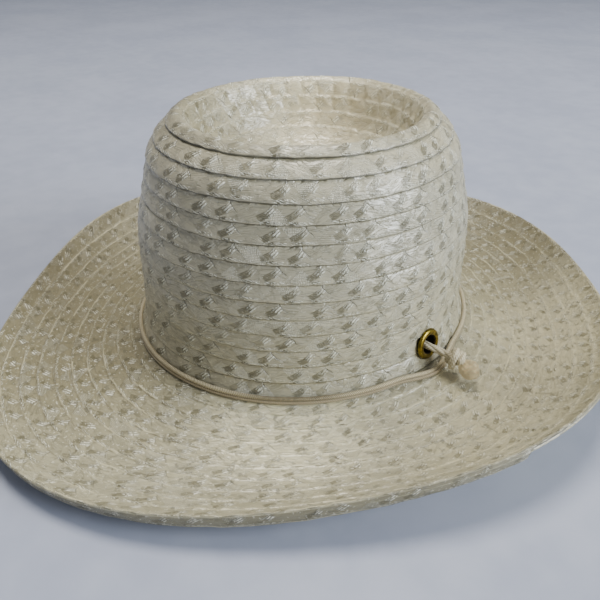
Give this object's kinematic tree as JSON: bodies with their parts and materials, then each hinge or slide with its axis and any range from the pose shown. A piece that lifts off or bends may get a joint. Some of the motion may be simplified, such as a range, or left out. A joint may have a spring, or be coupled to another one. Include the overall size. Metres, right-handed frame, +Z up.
{
  "type": "straw cowboy hat",
  "caption": "Straw cowboy hat with a dished crown, upturned brim, twin-cord band and a knotted chin cord through brass eyelets.",
  "frame": {"origin": "on the surface that the hat rests on, below the middle of its brim", "axes": "+Z up, +Y along the hat's length towards the back, so the front faces -Y"},
  "size_m": [0.328, 0.3538, 0.1173],
  "materials": {
    "crown_straw": "glossy pearl-white sewn braid",
    "brim_straw": "khaki-cream sewn braid with a soft gloss",
    "band_cord": "cream-gold twin cord, soiled in places",
    "antique_brass": "antique, rolled and polished by wear",
    "cord_cream": "cream braided cord"
  },
  "bodies": {
    "root": {"crown": "crown_straw", "brim": "brim_straw", "hat_band": "band_cord", "eyelet_right": "antique_brass", "eyelet_left": "antique_brass", "chin_cord": "cord_cream", "knot_right": "cord_cream", "knot_left": "cord_cream"}
  },
  "joints": []
}
